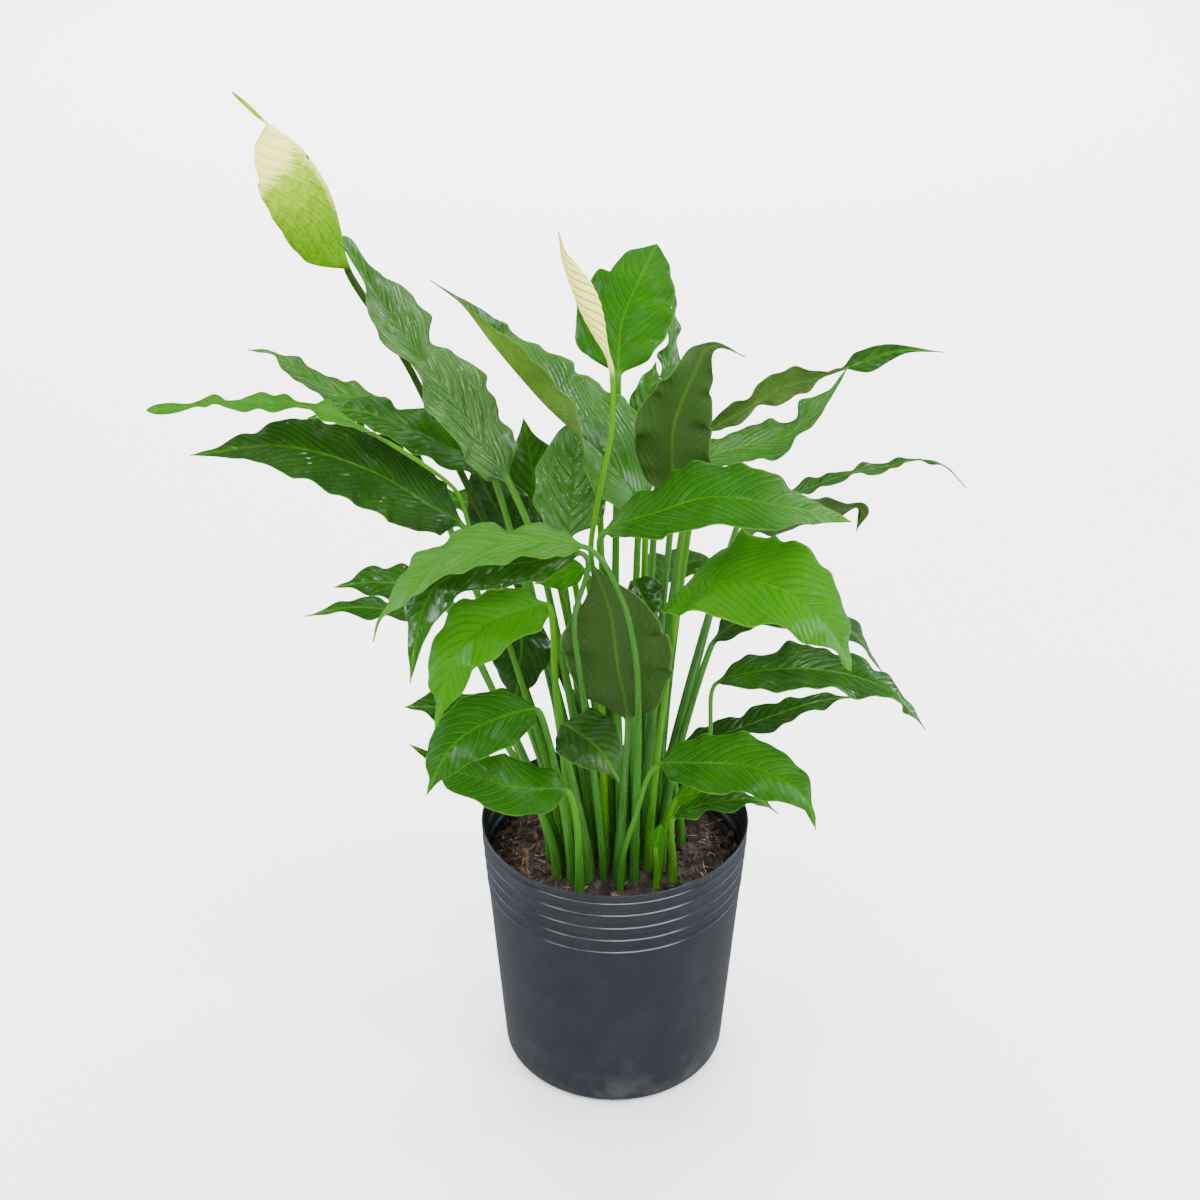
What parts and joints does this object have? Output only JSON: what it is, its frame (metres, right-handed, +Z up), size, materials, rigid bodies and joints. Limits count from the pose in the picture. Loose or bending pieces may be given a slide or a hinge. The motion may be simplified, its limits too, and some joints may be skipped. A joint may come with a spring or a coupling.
{
  "type": "potted peace lily",
  "caption": "Potted peace lily: arching glossy lance-shaped leaves, a tall spathe and a furled bud on long stalks, standing in a ribbed black nursery pot of soil.",
  "frame": {"origin": "middle of the pot's flat base, on the surface that it stands on", "axes": "+Z up along the pot's axis, -Y towards the side that the picture shows, +X to that viewer's right"},
  "size_m": [0.4634, 0.3209, 0.627],
  "materials": {
    "pot_plastic": "satin black blow-moulded plastic with fine ribs below the rim",
    "potting_soil": "damp crumbly peat and bark",
    "leaf_bright": "glossy bright green leaf with side veins",
    "leaf_deep": "glossy deep green leaf with side veins",
    "leaf_olive": "duller olive green leaf, mostly seen from below",
    "spathe_green": "satin spathe, green at its base and cream at its tip",
    "spathe_cream": "satin cream furled spathe on a yellow-green stalk",
    "spadix_cream": "matt knobbly spike of small florets"
  },
  "bodies": {
    "root": {"pot": "pot_plastic", "soil": "potting_soil", "tall_flower": "spathe_green", "tall_flower_spadix": "spadix_cream", "furled_flower": "spathe_cream", "leaf_left_tall": "leaf_deep", "leaf_centre_big": "leaf_deep", "leaf_top": "leaf_bright", "leaf_top_narrow": "leaf_deep", "leaf_turned_back": "leaf_olive", "leaf_centre_small": "leaf_deep", "leaf_upright_dark": "leaf_deep", "leaf_upright_glossy": "leaf_deep", "leaf_right_long_twisted": "leaf_deep", "leaf_right_short_twisted": "leaf_deep", "leaf_right_thin": "leaf_deep", "leaf_right_curled": "leaf_olive", "leaf_right_front_bright": "leaf_bright", "leaf_right_broad": "leaf_bright", "leaf_right_behind_broad": "leaf_olive", "leaf_right_arching": "leaf_deep", "leaf_right_low_dark": "leaf_deep", "leaf_right_low_bright": "leaf_bright", "leaf_right_low_thin": "leaf_deep", "leaf_right_low_pale": "leaf_bright", "leaf_spear": "leaf_bright", "leaf_middle_underside": "leaf_olive", "leaf_middle_small": "leaf_deep", "leaf_left_front_pale": "leaf_bright", "leaf_left_front_shaded": "leaf_deep", "leaf_middle_tip": "leaf_bright", "leaf_left_small_upper": "leaf_deep", "leaf_left_small_lower": "leaf_deep", "leaf_left_drooping": "leaf_bright", "leaf_left_low_small": "leaf_deep", "leaf_left_low_drooping": "leaf_bright", "leaf_left_lowest": "leaf_bright", "leaf_middle_dull": "leaf_deep", "leaf_left_hanging": "leaf_deep", "leaf_left_high_narrow": "leaf_deep", "leaf_left_far_thin": "leaf_bright", "leaf_left_high_broad": "leaf_deep", "leaf_left_long": "leaf_deep", "leaf_left_upright_olive": "leaf_olive", "leaf_back_left": "leaf_deep", "leaf_back_middle": "leaf_deep", "leaf_back_right": "leaf_deep", "leaf_back_right_low": "leaf_deep", "leaf_back_low": "leaf_deep", "leaf_back_far_left": "leaf_deep"}
  },
  "joints": []
}
